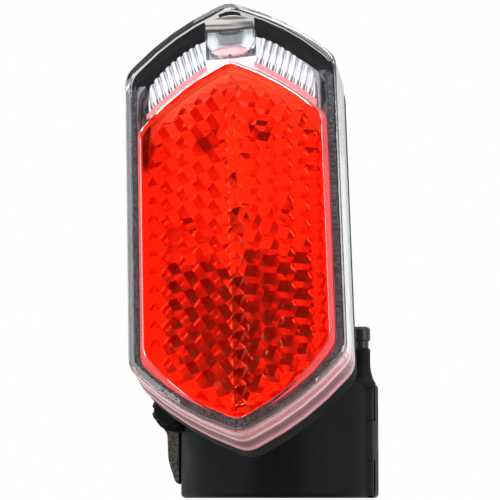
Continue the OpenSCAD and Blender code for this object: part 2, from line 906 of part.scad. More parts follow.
module led() color("#fff4d0") in_light() {
    tip = tray_floor - 1.5;
    union() {
        translate([-1.75, board_front - 1.2, led_z - 1.75])
            cube([3.5, 1.2, 3.5]);
        rod_y(1.3, 0, led_z, tip + 0.6, board_front - 1);
        translate([0, tip + 0.6, led_z])
            rotate([90, 0, 0])
                cylinder(r1 = 1.3, r2 = 0.7, h = 0.6);
    }
}

module reflector_tray() color("#f2f2ee") in_light() {
    outer = case_pts(cover_wall + 0.25, tray_in);
    inner = case_pts(cover_wall + 0.25 + tray_wall, tray_in + tray_wall);
    brow_z = case_top - top_v - visor_t;
    difference() {
        union() {
            difference() {
                slab(outer, front_t + gasket_t + 0.2, spigot_front - 0.2);
                slab(inner, 0, far);
                slab([[-far, brow_z], [far, brow_z], [far, far], [-far, far]], 0, far);
            }
            slab(outer, tray_floor, tray_floor + tray_t);
            for (side = [-1, 1])
                rod_y(2, side * board_screw_x(), 0, tray_floor, board_front);
        }
        slab(panel_pts(-flange_w - seat_gap), 0, panel_t + seat_gap);
        optic_room(0, tray_floor);
        rod_y(2.3, 0, led_z, tray_floor - 1, far);
        intersection() {
            slab(panel_pts(2.6), tray_floor - 1, far);
            slab(
                [[-board_screw_x() + 3, -1], [board_screw_x() - 3, -1], [far, -9], [far, -far], [-far, -far], [-far, -9]],
                0, far
            );
        }
        for (side = [-1, 1])
            rod_y(board_screw_r, side * board_screw_x(), 0, tray_floor + 0.4, far);
    }
}

function board_screw_x() = case_hw - board_screw_in;

module circuit_board() color("#2c5a3a") in_light() {
    difference() {
        slab(case_pts(tray_in + tray_wall + 0.2), board_front, board_back);
        for (side = [-1, 1])
            rod_y(board_screw_r + run_fit, side * board_screw_x(), 0, 0, far);
    }
}

module board_screws() color("#9a9ca0") in_light() {
    for (side = [-1, 1])
        union() {
            rod_y(board_screw_r, side * board_screw_x(), 0, tray_floor + 0.6, board_back + 0.5);
            rod_y(board_head_r, side * board_screw_x(), 0, board_back, board_back + board_head_t);
        }
}

module tact_switch() color("#3a3a3c") in_light() {
    union() {
        translate([-switch_hw, board_back, button_z - switch_hw])
            cube([2 * switch_hw, switch_tip - switch_stem_h - board_back, 2 * switch_hw]);
        rod_y(switch_stem_r, 0, button_z, switch_tip - switch_stem_h - 0.3, switch_tip);
    }
}

module power_button() color("#3b3b3d") in_light() {
    translate([0, flange_front, button_z])
        rotate([-90, 0, 0])
            rotate_extrude()
                polygon([
                    [0, 0], [button_flange_r, 0], [button_flange_r, button_flange_t],
                    [button_r, button_flange_t],
                    [button_r, rim_back - flange_front + button_proud - 0.7],
                    [button_r - 0.25, rim_back - flange_front + button_proud - 0.25],
                    [button_r - 0.8, rim_back - flange_front + button_proud],
                    [0, rim_back - flange_front + button_proud]
                ]);
}

module housing_seal() color("#202022") in_light() {
    difference() {
        slab(case_pts(rim_inset + 0.05), cover_depth, rim_front);
        slab(case_pts(spigot_in - 0.03), cover_depth - 1, rim_front + 1);
    }
}

// Battery with its button end at the top or the bottom
module battery(x, up) {
    body = batt_l - 1;
    translate([x, batt_depth, up > 0 ? bay_lo + plate_t + spring_h : bay_hi - plate_t - spring_h])
        mirror([0, 0, up > 0 ? 0 : 1])
            rotate_extrude()
                polygon([
                    [0, 0], [batt_r - 0.5, 0], [batt_r, 0.4], [batt_r, body - 0.4],
                    [batt_r - 0.5, body], [1.9, body], [1.9, batt_l - 0.1],
                    [1.8, batt_l], [0, batt_l]
                ]);
}

module battery_left() color("#3d6b8c") in_light() battery(-batt_x, 1);

module battery_right() color("#3d6b8c") in_light() battery(batt_x, -1);

// Conical contact spring, standing along Z on a plate
module contact_spring(x, foot, dir) {
    translate([x, batt_depth, foot])
        mirror([0, 0, dir > 0 ? 0 : 1])
            rotate_extrude()
                polygon(concat(
                    [[spring_eye, -0.1], [spring_r, -0.1]],
                    [
                        for (i = [0 : spring_coils - 1])
                            each [
                                [spring_r - 0.5 * i, (i + 0.35) * spring_h / spring_coils],
                                [spring_r - spring_wire - 0.5 * i, (i + 0.8) * spring_h / spring_coils]
                            ]
                    ],
                    [[spring_eye + spring_wire, spring_h], [spring_eye, spring_h]]
                ));
}

// Flat contact plate against an end of the battery bay
module contact_plate(x0, x1, z0) {
    translate([x0, batt_depth - batt_r + 0.4, z0])
        cube([x1 - x0, plate_d, plate_t]);
}

module contacts_bottom() color("#b9bbc0") in_light() {
    union() {
        contact_plate(-batt_x - plate_hw, batt_x + plate_hw, bay_lo);
        contact_spring(-batt_x, bay_lo + plate_t, 1);
    }
}

module contacts_top() color("#b9bbc0") in_light() {
    contact_plate(-batt_x - plate_hw, -batt_x + plate_hw, bay_hi - plate_t);
    union() {
        contact_plate(batt_x - plate_hw, batt_x + plate_hw, bay_hi - plate_t);
        contact_spring(batt_x, bay_hi - plate_t, -1);
    }
}

module battery_door() color("#17181b") in_light() {
    plate = box_pts(door_hw - seat_gap, door_lo + seat_gap, door_hi - seat_gap, 1.5);
    difference() {
        union() {
            slab(plate, recess_floor + door_seal_t, body_depth);
            for (i = [0 : 4])
                translate([-6, body_depth - 0.2, door_lo + 3 + i * 2])
                    cube([12, 0.7, 0.8]);
        }
        rod_y(door_screw_r + 0.15, 0, door_screw_z, 0, far);
        rod_y(door_head_r + 0.2, 0, door_screw_z, body_depth - 1.2, far);
    }
}

module door_seal() color("#202022") in_light() {
    difference() {
        slab(box_pts(door_hw - 0.1, door_lo + 0.1, door_hi - 0.1, 1.5), recess_floor, recess_floor + door_seal_t);
        slab(box_pts(bay_hw + 0.1, door_lo + 1.1, bay_hi + 0.1, 1), 0, far);
        rod_y(door_screw_r + 0.3, 0, door_screw_z, 0, far);
    }
}

module door_screw() color("#9a9ca0") in_light() {
    difference() {
        union() {
            rod_y(door_screw_r, 0, door_screw_z, rim_back - housing_t + 1.8, body_depth - 0.6);
            rod_y(door_head_r, 0, door_screw_z, body_depth - 1.2, body_depth);
        }
        for (a = [0, 90])
            translate([0, body_depth, door_screw_z])
                rotate([0, a, 0])
                    cube([2.8, 1.4, 0.6], center = true);
    }
}

clamp_front();
clamp_rear();
liner_front();
liner_rear();
hinge_pin();
clamp_screw();
clamp_knob();
clamp_nut();
swivel_knuckle();
swivel_bolt();
swivel_washer();
rear_housing();
tilt_bolt();
tilt_nut();
clear_cover();
red_lens();
rim_gasket();
light_guide();
led_optic();
led();
reflector_tray();
circuit_board();
board_screws();
tact_switch();
power_button();
housing_seal();
battery_left();
battery_right();
contacts_top();
contacts_bottom();
battery_door();
door_seal();
door_screw();
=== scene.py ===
"""Looks for the bicycle rear light: finishes, added detail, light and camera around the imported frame."""

import json
import logging
import math
from dataclasses import dataclass, field
from enum import Enum
from typing import Callable

import bpy
from mathutils import Euler, Matrix, Vector


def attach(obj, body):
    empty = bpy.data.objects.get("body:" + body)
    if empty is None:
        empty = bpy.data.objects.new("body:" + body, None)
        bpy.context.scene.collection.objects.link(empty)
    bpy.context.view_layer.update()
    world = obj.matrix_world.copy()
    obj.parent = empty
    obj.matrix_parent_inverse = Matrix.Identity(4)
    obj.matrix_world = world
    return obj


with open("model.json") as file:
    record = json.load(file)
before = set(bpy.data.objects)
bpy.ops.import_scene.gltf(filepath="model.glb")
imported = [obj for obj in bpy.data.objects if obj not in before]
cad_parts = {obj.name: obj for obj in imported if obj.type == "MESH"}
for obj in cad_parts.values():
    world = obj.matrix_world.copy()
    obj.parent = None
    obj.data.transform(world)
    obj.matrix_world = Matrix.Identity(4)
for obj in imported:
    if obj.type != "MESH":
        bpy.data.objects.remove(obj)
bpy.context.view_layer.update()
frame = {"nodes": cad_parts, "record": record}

LOG = logging.getLogger("rear_light")
Point = tuple[float, float, float]
Pick = Callable[[Vector], bool]
Curve = Callable[[float], float]
Tree = bpy.types.NodeTree
Socket = bpy.types.NodeSocket
Number = float | Socket
Colour = tuple[float, float, float, float] | Socket
MM = 0.001

# How the light stands on its clamp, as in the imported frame.
TILT = math.radians(17.0)
ROLL = math.radians(4.2)
FRONT_CENTRE = Vector((-1.47, -52.78, 42.29)) * MM


@dataclass(frozen=True)
class UpperV:
    """An upper V edge in the light's frame, in millimetres.

    Args:
        top: Height of its point.
        height: How far it falls to its ends.
        half_width: Half of its width.
        bow: Outward bow of its sides.
    """

    top: float
    height: float
    half_width: float
    bow: float


PANEL_V = UpperV(30.5, 12.6, 17.3, 1.0)
CASE_V = UpperV(43.9, 13.7, 20.4, 1.2)


@dataclass(frozen=True)
class Zones:
    """Where a finish changes, in millimetres of the light's own frame.

    Args:
        flange: Depth of the red panel's flange, from its front to its back.
        halves_meet: Distance to the middle within which the two prism halves meet.
        halves_turn: Where the left half's index turns into the right half's.
        glow_low: Height below which the cover's wall glows pink.
        glow_back: Depth behind which it glows.
        board_top: Height at which the board's bare white end starts.
        slot_shade_start: Height above the panel's edge at which the painted shade of the flutes' slots
            starts.
        slot_shade_end: Height above the panel's edge at which it ends.
        slot_shade_upper: Height under the case's edge at which the upper, fainter row of painted slot shade
            starts.
        tray_side: Distance to the middle beyond which the tray lies in the visor's shade.
        tray_shade: Height above which it does.
        tray_hole_shade: Painted shade of component holes in the tray: place across and up, and half size.
    """

    flange: tuple[float, float] = (2.25, 3.65)
    halves_meet: tuple[float, float] = (1.5, 1.0)
    halves_turn: tuple[float, float] = (-0.5, 0.5)
    glow_low: tuple[float, float] = (-25.0, -33.0)
    glow_back: tuple[float, float] = (3.4, 4.0)
    board_top: tuple[float, float] = (-6.0, -5.4)
    slot_shade_start: tuple[float, float] = (2.8, 3.1)
    slot_shade_end: tuple[float, float] = (5.2, 4.2)
    slot_shade_upper: tuple[float, float] = (-7.6, -6.6)
    tray_side: tuple[float, float] = (16.2, 16.8)
    tray_shade: tuple[float, float] = (10.0, 14.0)
    tray_hole_shade: tuple[tuple[float, float, float], ...] = (
        (-6.0, 16.5, 2.2),
        (5.4, 17.0, 2.2),
        (-10.5, 0.6, 1.4),
        (0.6, 0.0, 2.4),
        (10.3, 0.4, 1.2),
        (-1.0, 8.5, 1.2),
    )


ZONES = Zones()
# The right half's refractive index, and how far the index falls where the halves meet.
RIGHT_INDEX = 1.47
MIDDLE_DROP = 0.09
COVER_DEPTH = 12.0
# Colours of the glowing wall from the cover's front to its back.
GLOW_BANDS = (
    (0.0, "#f4e4e4"),
    (0.14, "#a07072"),
    (0.2, "#e4848a"),
    (0.42, "#dc7880"),
    (0.5, "#fff4f4"),
    (0.56, "#a4646a"),
    (0.7, "#7c5054"),
    (0.84, "#b4707a"),
    (0.9, "#f6babe"),
    (1.0, "#d88e92"),
)
# Painted shade of a flute, by how its surface turns: colours from its middle to its flanks.
FLUTE_SHADE = ((0.0, "#f6f6f8"), (0.5, "#eeeef2"), (0.78, "#c0c0c8"), (1.0, "#7c7c84"))


class Coat(Enum):
    """Whether a finish has a clear, glossy top layer."""

    NONE = 0.0
    THIN = 0.3
    FULL = 1.0


@dataclass(frozen=True)
class Plastic:
    """An opaque moulded finish with a grain.

    Args:
        name: Material name, after the real material and process.
        dark: Colour in the hollows of the grain, as sRGB hex.
        light: Colour on its high spots.
        rough: Roughness range from low to high.
        grain_mm: Size of the grain.
        depth_mm: Height of the grain.
        metal: Metallic share.
        coat: Clear top layer.
        stretch: Scale along X, Y and Z, for grain drawn out in one direction.
        shine: Strength of the plain reflection.
        sharp: How sharply the grain's two colours part, from 0 to 0.49.
    """

    name: str
    dark: str
    light: str
    rough: tuple[float, float]
    grain_mm: float
    depth_mm: float
    metal: float = 0.0
    coat: Coat = Coat.NONE
    stretch: tuple[float, float, float] = (1.0, 1.0, 1.0)
    shine: float = 0.5
    sharp: float = 0.0


@dataclass(frozen=True)
class Clear:
    """A transparent moulded finish.

    Args:
        name: Material name, after the real material and process.
        tint: Colour of the light that passes, as sRGB hex.
        rough: Roughness range of the surface.
        grain_mm: Size of the waves that moulding leaves.
        depth_mm: Height of these waves.
        milk: Share of light that scatters in the surface instead of passing.
        milk_tint: Colour of the scattered light.
        reflected: Tint of the reflection, or empty for none.
        index: Refractive index.
    """

    name: str
    tint: str
    rough: tuple[float, float]
    grain_mm: float
    depth_mm: float
    milk: float = 0.0
    milk_tint: str = "#ffffff"
    reflected: str = ""
    index: float = 1.49


def linear(hex_colour: str) -> tuple[float, float, float, float]:
    """Turns an sRGB hex colour into linear RGBA.

    Args:
        hex_colour: A colour such as "#f52a15".

    Returns:
        Red, green, blue and alpha in linear light.
    """
    parts = [int(hex_colour[i : i + 2], 16) / 255 for i in (1, 3, 5)]
    out = [c / 12.92 if c <= 0.04045 else ((c + 0.055) / 1.055) ** 2.4 for c in parts]
    return (out[0], out[1], out[2], 1.0)


def add(tree: Tree, kind: str, inputs: dict | None = None, **settings: object) -> bpy.types.Node:
    """Adds one shader node.

    Args:
        tree: Node tree that gets the node.
        kind: Node type without the ShaderNode prefix.
        inputs: Socket name or index to a value, or to another node's socket.
        settings: Attributes of the node.

    Returns:
        The new node.
    """
    node = tree.nodes.new("ShaderNode" + kind)
    for key, value in settings.items():
        setattr(node, key, value)
    for key, value in (inputs or {}).items():
        if isinstance(value, Socket):
            tree.links.new(value, node.inputs[key])
        else:
            node.inputs[key].default_value = value
    return node


def new_material(name: str) -> tuple[bpy.types.Material, Tree, bpy.types.Node]:
    """Makes an empty material.

    Args:
        name: Its name.

    Returns:
        The material, its node tree and its output node.
    """
    material = bpy.data.materials.new(name)
    material.use_nodes = True
    tree = material.node_tree
    tree.nodes.clear()
    return material, tree, add(tree, "OutputMaterial")


def light_coords(tree: Tree) -> Socket:
    """Gives the place in the light's own frame, in metres from the middle of its front.

    Args:
        tree: Node tree of the material.

    Returns:
        A vector socket: X across, Y back, Z up the panel.
    """
    place = add(tree, "TexCoord")
    turned = add(
        tree,
        "Mapping",
        {
            "Vector": place.outputs["Object"],
            "Location": FRONT_CENTRE,
            "Rotation": (-TILT, -ROLL, 0.0),
        },
        vector_type="TEXTURE",
    )
    return turned.outputs["Vector"]


def light_normal(tree: Tree) -> Socket:
    """Gives the surface direction in the light's own frame.

    Args:
        tree: Node tree of the material.

    Returns:
        A unit vector socket: X across, Y back, Z up the panel.
    """
    place = add(tree, "TexCoord")
    turned = add(
        tree,
        "Mapping",
        {"Vector": place.outputs["Normal"], "Rotation": (-TILT, -ROLL, 0.0)},
        vector_type="TEXTURE",
    )
    return turned.outputs["Vector"]


def split(tree: Tree, vector: Socket) -> bpy.types.NodeOutputs:
    """Splits a vector into X, Y and Z.

    Args:
        tree: Node tree of the material.
        vector: The vector socket.

    Returns:
        The three outputs.
    """
    return add(tree, "SeparateXYZ", {"Vector": vector}).outputs


def maths(
    tree: Tree, operation: str, first: Number, second: Number = 0.0, third: Number = 0.0
) -> Socket:
    """Does one sum on numbers or sockets.

    Args:
        tree: Node tree of the material.
        operation: Name of the operation.
        first: First number or socket.
        second: Second number or socket.
        third: Third number or socket.

    Returns:
        The result.
    """
    return add(tree, "Math", {0: first, 1: second, 2: third}, operation=operation).outputs[0]


def step(tree: Tree, value: Number, start: float, end: float) -> Socket:
    """Rises smoothly from 0 to 1.

    Args:
        tree: Node tree of the material.
        value: The number that decides.
        start: Where the rise starts.
        end: Where it ends.

    Returns:
        The step.
    """
    ranged = add(
        tree,
        "MapRange",
        {"Value": value, "From Min": start, "From Max": end},
        interpolation_type="SMOOTHSTEP",
    )
    return ranged.outputs["Result"]


def zone(tree: Tree, value: Number, limits: tuple[float, float]) -> Socket:
    """Rises smoothly from 0 to 1 between two places.

    Args:
        tree: Node tree of the material.
        value: A place in metres.
        limits: Where the rise starts and ends, in millimetres.

    Returns:
        The step.
    """
    return step(tree, value, limits[0] * MM, limits[1] * MM)


def above_v(tree: Tree, parts: bpy.types.NodeOutputs, v: UpperV) -> Socket:
    """Gives the height above a bowed upper V edge.

    Args:
        tree: Node tree of the material.
        parts: Place in the light's frame, split.
        v: The edge.

    Returns:
        The height in metres, negative below the edge.
    """
    across = maths(tree, "ABSOLUTE", parts["X"])
    share = maths(tree, "DIVIDE", across, v.half_width * MM)
    rest = maths(tree, "SUBTRACT", 1.0, share)
    bow = maths(tree, "MULTIPLY", maths(tree, "MULTIPLY", share, rest), 4.0 * v.bow * MM)
    straight = maths(tree, "MULTIPLY_ADD", share, -v.height * MM, v.top * MM)
    return maths(tree, "SUBTRACT", parts["Z"], maths(tree, "ADD", straight, bow))


def mix_colour(tree: Tree, factor: Number, low: Colour, high: Colour) -> Socket:
    """Mixes two colours.

    Args:
        tree: Node tree of the material.
        factor: Socket or number from 0 to 1.
        low: Colour or socket at 0.
        high: Colour or socket at 1.

    Returns:
        The mixed colour.
    """
    mix = add(tree, "Mix", {0: factor}, data_type="RGBA")
    for name, value in (("A", low), ("B", high)):
        socket = next(s for s in mix.inputs if s.name == name and s.type == "RGBA")
        if isinstance(value, Socket):
            tree.links.new(value, socket)
        else:
            socket.default_value = value
    return next(s for s in mix.outputs if s.type == "RGBA")


def ramp(tree: Tree, factor: Number, stops: tuple[tuple[float, str], ...]) -> Socket:
    """Turns a number into a colour by stops.

    Args:
        tree: Node tree of the material.
        factor: Socket from 0 to 1.
        stops: Place and sRGB hex colour of each stop.

    Returns:
        The colour.
    """
    node = add(tree, "ValToRGB", {"Fac": factor})
    elements = node.color_ramp.elements
    while len(elements) < len(stops):
        elements.new(0.5)
    for element, (place, colour) in zip(elements, stops):
        element.position = place
        element.color = linear(colour)
    return node.outputs["Color"]


def grain(tree: Tree, size_mm: float, stretch: Point = (1.0, 1.0, 1.0)) -> Socket:
    """Gives a fine random height field.

    Args:
        tree: Node tree of the material.
        size_mm: Size of one grain.
        stretch: Scale along X, Y and Z.

    Returns:
        A height from 0 to 1.
    """
    place = add(tree, "TexCoord")
    mapped = add(tree, "Mapping", {"Vector": place.outputs["Object"], "Scale": stretch})
    noise = add(
        tree,
        "TexNoise",
        {"Vector": mapped.outputs["Vector"], "Scale": 1.0 / (size_mm * MM), "Detail": 3.0},
    )
    return noise.outputs["Fac"]


def make_plastic(kind: Plastic) -> bpy.types.Material:
    """Builds an opaque finish.

    Args:
        kind: Its settings.

    Returns:
        The material.
    """
    material, tree, out = new_material(kind.name)
    height = grain(tree, kind.grain_mm, kind.stretch)
    # Broad patches change the gloss a little, as handling and moulding flow do.
    patches = grain(tree, 9.0)
    parted = add(
        tree,
        "MapRange",
        {"Value": height, "From Min": 0.2 + kind.sharp * 0.6, "From Max": 0.8 - kind.sharp * 0.6},
    )
    colour = mix_colour(tree, parted.outputs["Result"], linear(kind.dark), linear(kind.light))
    rough = add(
        tree,
        "MapRange",
        {
            "Value": patches,
            "From Min": 0.3,
            "From Max": 0.7,
            "To Min": kind.rough[0],
            "To Max": kind.rough[1],
        },
    )
    bump = add(tree, "Bump", {"Height": height, "Distance": kind.depth_mm * MM, "Strength": 0.8})
    shader = add(
        tree,
        "BsdfPrincipled",
        {
            "Base Color": colour,
            "Roughness": rough.outputs["Result"],
            "Normal": bump.outputs["Normal"],
            "Specular IOR Level": kind.shine,
            "Metallic": kind.metal,
            "Coat Weight": kind.coat.value,
            "Coat Roughness": 0.06,
        },
    )
    tree.links.new(shader.outputs["BSDF"], out.inputs["Surface"])
    return material


def clear_surface(tree: Tree, kind: Clear, index: Socket | None = None) -> Socket:
    """Builds the surface of a transparent finish.

    Args:
        tree: Node tree of the material.
        kind: Its settings.
        index: Socket that gives the refractive index, or nothing for the finish's own.

    Returns:
        The shader.
    """
    height = grain(tree, kind.grain_mm)
    rough = add(
        tree,
        "MapRange",
        {
            "Value": height,
            "From Min": 0.3,
            "From Max": 0.7,
            "To Min": kind.rough[0],
            "To Max": kind.rough[1],
        },
    )
    bump = add(tree, "Bump", {"Height": height, "Distance": kind.depth_mm * MM, "Strength": 0.6})
    shader = add(
        tree,
        "BsdfPrincipled",
        {
            "Base Color": linear(kind.tint),
            "Roughness": rough.outputs["Result"],
            "Normal": bump.outputs["Normal"],
            "IOR": index or kind.index,
            "Transmission Weight": 1.0,
        },
    )
    surface = shader.outputs["BSDF"]
    if kind.reflected:
        shader.inputs["Specular Tint"].default_value = linear(kind.reflected)
    if kind.milk:
        haze = add(
            tree,
            "BsdfTranslucent",
            {"Color": linear(kind.milk_tint), "Normal": bump.outputs["Normal"]},
        )
        surface = blend_shader(tree, kind.milk, surface, haze.outputs["BSDF"])
    return surface


def blend_shader(tree: Tree, factor: Number, low: Socket, high: Socket) -> Socket:
    """Mixes two shaders.

    Args:
        tree: Node tree of the material.
        factor: Socket or number from 0 to 1.
        low: Shader at 0.
        high: Shader at 1.

    Returns:
        The mixed shader.
    """
    return add(tree, "MixShader", {0: factor, 1: low, 2: high}).outputs["Shader"]


def pass_shadows(tree: Tree, surface: Socket, tint: str, out: bpy.types.Node) -> None:
    """Lets light for what lies inside pass straight through, as it does in thin clear mouldings.

    Args:
        tree: Node tree of the material.
        surface: Shader for every other ray.
        tint: Colour of the light that passes.
        out: Output node.
    """
    path = add(tree, "LightPath")
    through = add(tree, "BsdfTransparent", {"Color": linear(tint)})
    both = blend_shader(tree, path.outputs["Is Shadow Ray"], surface, through.outputs["BSDF"])
    tree.links.new(both, out.inputs["Surface"])


def make_clear(kind: Clear) -> bpy.types.Material:
    """Builds a transparent finish.

    Args:
        kind: Its settings.

    Returns:
        The material.
    """
    material, tree, out = new_material(kind.name)
    pass_shadows(tree, clear_surface(tree, kind), kind.tint, out)
    return material


def make_panel(kind: Clear) -> bpy.types.Material:
    """Builds the red prism panel, clear red with a frosted flange.

    Args:
        kind: Settings of the red plastic.

    Returns:
        The material.
    """
    material, tree, out = new_material(kind.name)
    place = split(tree, light_coords(tree))
    # The two halves stand at different slants to the eye; these indices let one facet of each prism
    # fail to mirror in both halves, so that the dark board shows through it.
    halves = add(
        tree,
        "MapRange",
        {
            "Value": place["X"],
            "From Min": ZONES.halves_turn[0] * MM,
            "From Max": ZONES.halves_turn[1] * MM,
            "To Min": kind.index,
            "To Max": RIGHT_INDEX,
        },
    )
    # Where the halves meet, the cut prisms would mirror the room as a bright line.
    middle = zone(tree, maths(tree, "ABSOLUTE", place["X"]), ZONES.halves_meet)
    index = maths(tree, "MULTIPLY_ADD", middle, -MIDDLE_DROP, halves.outputs["Result"])
    surface = clear_surface(tree, kind, index)
    # The flange under the clear cover shows as a frosted pink line.
    flange_front = maths(tree, "GREATER_THAN", place["Y"], ZONES.flange[0] * MM)
    flange_back = maths(tree, "LESS_THAN", place["Y"], ZONES.flange[1] * MM)
    flange = maths(tree, "MULTIPLY", flange_front, flange_back)
    pink = add(tree, "BsdfDiffuse", {"Color": linear("#c86468")}).outputs["BSDF"]
    surface = blend_shader(tree, maths(tree, "MULTIPLY", flange, 0.8), surface, pink)
    pass_shadows(tree, surface, kind.tint, out)
    return material


def make_cover(kind: Clear) -> bpy.types.Material:
    """Builds the clear cover, whose lower wall glows pink from the red panel, in bands.

    Args:
        kind: Settings of the clear plastic.

    Returns:
        The material.
    """
    material, tree, out = new_material(kind.name)
    place = split(tree, light_coords(tree))
    depth = add(tree, "MapRange", {"Value": place["Y"], "From Max": COVER_DEPTH * MM})
    bands = ramp(tree, depth.outputs["Result"], GLOW_BANDS)
    low = zone(tree, place["Z"], ZONES.glow_low)
    wall = zone(tree, place["Y"], ZONES.glow_back)
    glowing = maths(tree, "MULTIPLY", maths(tree, "MULTIPLY", low, wall), 0.75)
    # Painted light: the red panel's glow on the lower wall is painted as pink bands on a dull surface.
    frosted = add(tree, "BsdfDiffuse", {"Color": bands}).outputs["BSDF"]
    surface = blend_shader(tree, glowing, clear_surface(tree, kind), frosted)
    pass_shadows(tree, surface, kind.tint, out)
    return material


def make_board(kind: Plastic) -> bpy.types.Material:
    """Builds the board: bare white print at its upper end, black below.

    Args:
        kind: Settings of the black print.

    Returns:
        The material.
    """
    material, tree, out = new_material(kind.name)
    place = split(tree, light_coords(tree))
    ragged = maths(tree, "MULTIPLY_ADD", grain(tree, 4.0), 6 * MM, place["Z"])
    upper = zone(tree, ragged, ZONES.board_top)
    black = mix_colour(tree, grain(tree, kind.grain_mm), linear(kind.dark), linear(kind.light))
    colour = mix_colour(tree, upper, black, linear("#e4e4e0"))
    shader = add(tree, "BsdfPrincipled", {"Base Color": colour, "Roughness": kind.rough[1]})
    tree.links.new(shader.outputs["BSDF"], out.inputs["Surface"])
    return material


def make_guide(kind: Clear) -> bpy.types.Material:
    """Builds the fluted clear guide: each flute is white in its middle and grey at its flanks, the grey
    being painted shade by the turn of its surface.

    Args:
        kind: Settings of the clear plastic.

    Returns:
        The material.
    """
    material, tree, out = new_material(kind.name)
    place = split(tree, light_coords(tree))
    flank = maths(tree, "ABSOLUTE", split(tree, light_normal(tree))["X"])
    # Painted shade: each flute greys towards its flanks by the direction its surface faces.
    side = ramp(tree, flank, FLUTE_SHADE)
    # The flutes' lower ends get painted shade as dark slot marks, and their upper ends a fainter row of
    # them.
    rise = above_v(tree, place, PANEL_V)
    lower = maths(tree, "MULTIPLY", zone(tree, rise, ZONES.slot_shade_start), zone(tree, rise, ZONES.slot_shade_end))
    upper = maths(tree, "MULTIPLY", zone(tree, above_v(tree, place, CASE_V), ZONES.slot_shade_upper), 0.5)
    slot = maths(tree, "MULTIPLY", maths(tree, "MAXIMUM", lower, upper), step(tree, flank, 0.25, 0.55))
    colour = mix_colour(tree, slot, side, linear("#26262a"))
    frosted = add(tree, "BsdfDiffuse", {"Color": colour}).outputs["BSDF"]
    surface = blend_shader(tree, 0.65, clear_surface(tree, kind), frosted)
    pass_shadows(tree, surface, kind.tint, out)
    return material


def make_tray(kind: Plastic) -> bpy.types.Material:
    """Builds the finish of the white tray, with painted shade as dark spots at its component holes.

    Args:
        kind: Settings of the white plastic.

    Returns:
        The material.
    """
    material, tree, out = new_material(kind.name)
    place = split(tree, light_coords(tree))
    plain = mix_colour(tree, grain(tree, 0.8), linear("#e9e9e6"), linear("#f8f8f6"))
    # Painted shade: the walls beside the window lie in the shade of the visor's ends, painted dark with
    # grey streaks.
    side = zone(tree, maths(tree, "ABSOLUTE", place["X"]), ZONES.tray_side)
    beside = maths(tree, "MULTIPLY", side, zone(tree, place["Z"], ZONES.tray_shade))
    flow = step(tree, grain(tree, 1.6, (1.0, 1.0, 0.25)), 0.45, 0.6)
    visor_shade_streaks = mix_colour(tree, flow, linear("#1c1c20"), linear("#9a9aa0"))
    colour = mix_colour(tree, beside, plain, visor_shade_streaks)
    # Painted shade: each component hole is a near-black patch on the tray, standing for the shade inside
    # it.
    for x, z, half in ZONES.tray_hole_shade:
        aside = maths(tree, "ABSOLUTE", maths(tree, "SUBTRACT", place["X"], x * MM))
        along = maths(tree, "ABSOLUTE", maths(tree, "SUBTRACT", place["Z"], z * MM))
        near = zone(tree, maths(tree, "MAXIMUM", aside, along), (half, half - 0.3))
        colour = mix_colour(tree, near, colour, linear("#101010"))
    shader = add(tree, "BsdfPrincipled", {"Base Color": colour, "Roughness": 0.3})
    tree.links.new(shader.outputs["BSDF"], out.inputs["Surface"])
    return material


